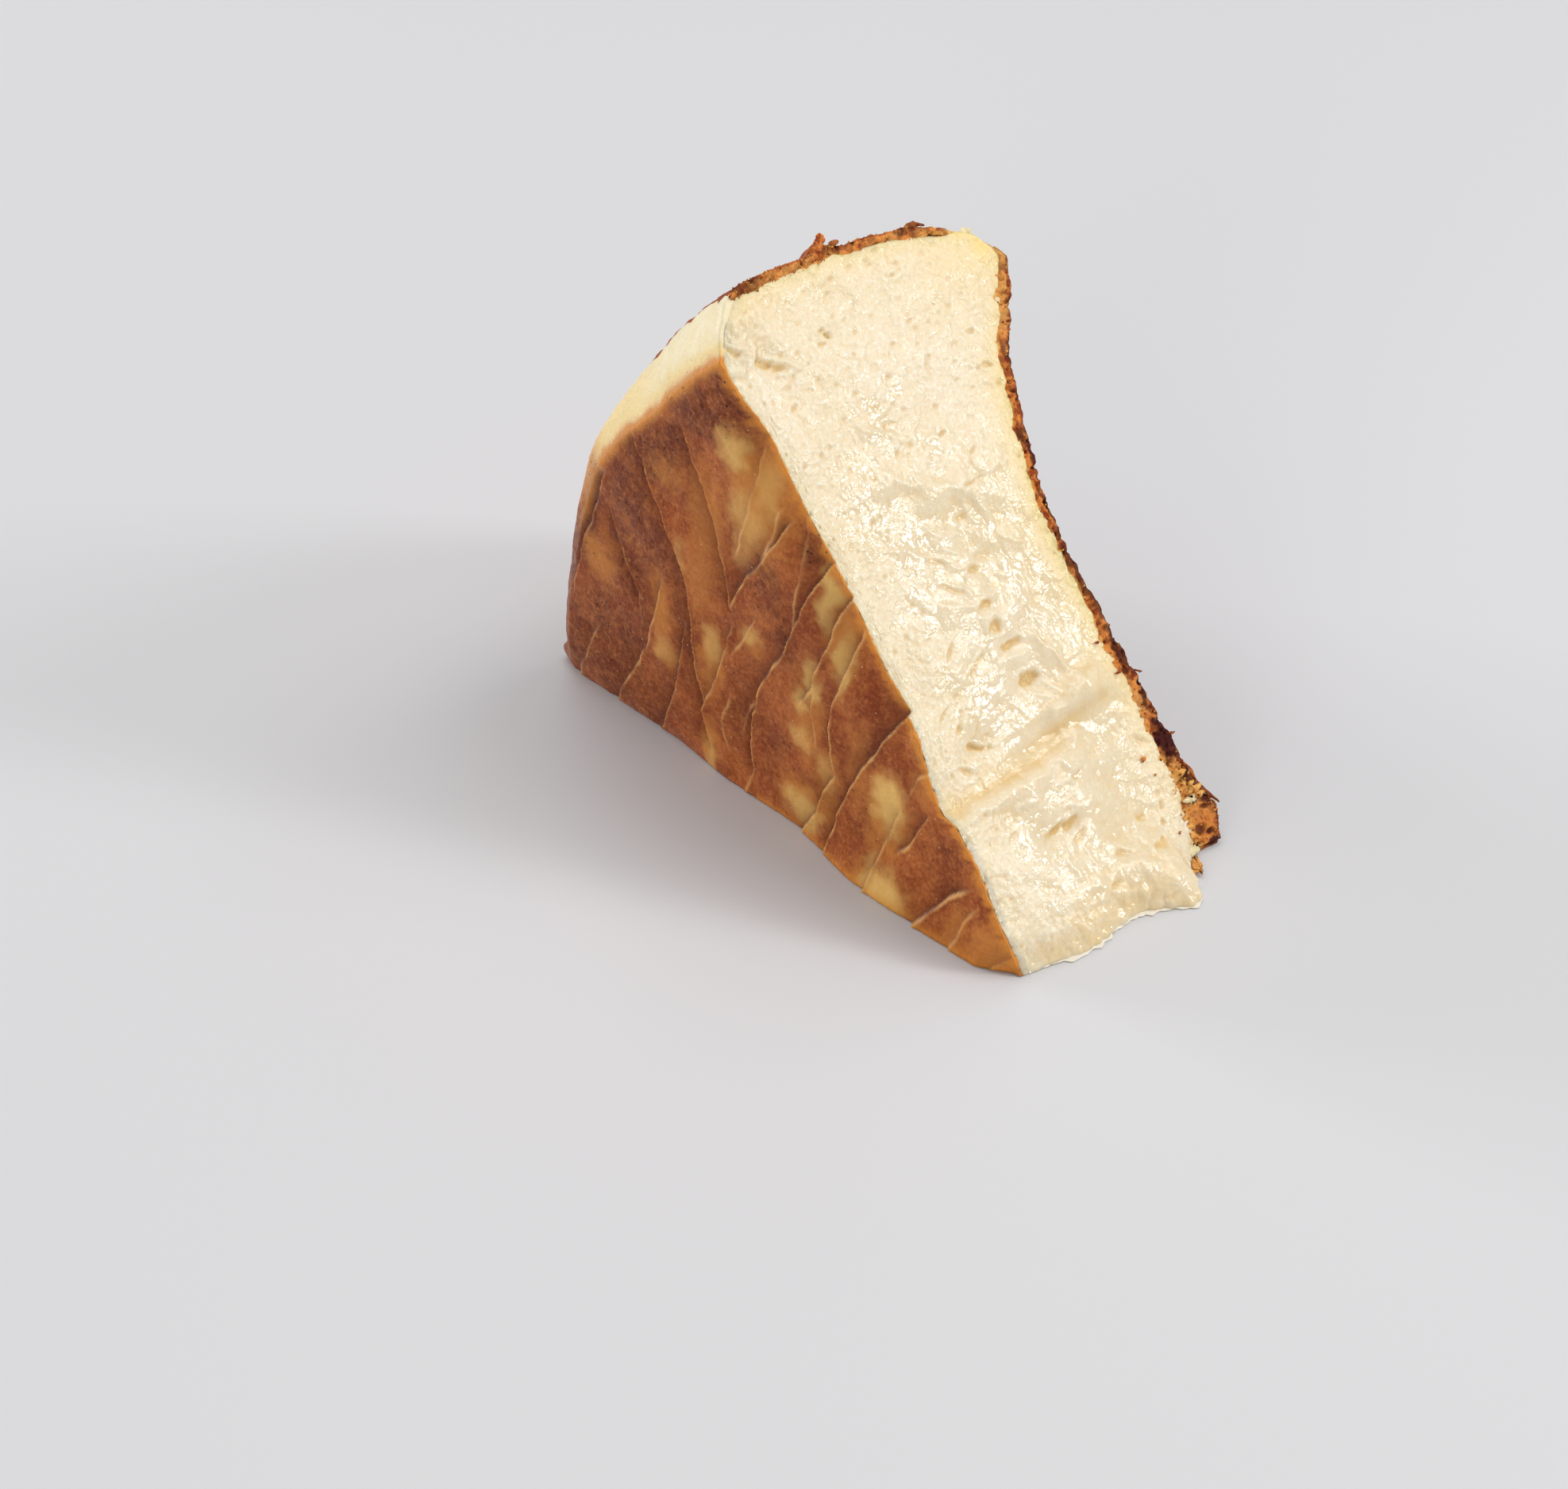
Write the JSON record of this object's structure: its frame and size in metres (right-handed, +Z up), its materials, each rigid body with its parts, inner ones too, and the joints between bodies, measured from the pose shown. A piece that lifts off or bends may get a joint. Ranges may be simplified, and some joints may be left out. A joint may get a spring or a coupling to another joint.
{
  "type": "basque cheesecake",
  "caption": "Slice of basque cheesecake lying on a cut face, with creamy middle, folded browned base and dark burnt top with a raised rim.",
  "frame": {"origin": "centre of the part's bounding box in X and Y, on the surface that the lower cut face rests on", "axes": "+X from the cake's browned base to its burnt top, +Y from the slice's tip to the cake's outer wall, +Z up"},
  "size_m": [0.0618, 0.118, 0.0867],
  "materials": {
    "soft_cheese": "moist set cream cheese, satin with wet smears",
    "browned_skin": "baked brown skin, satin, with pale patches and paper folds",
    "burnt_crust": "dark baked crust, matt and porous"
  },
  "bodies": {
    "root": {"cheesecake_slice": "soft_cheese"}
  },
  "joints": []
}
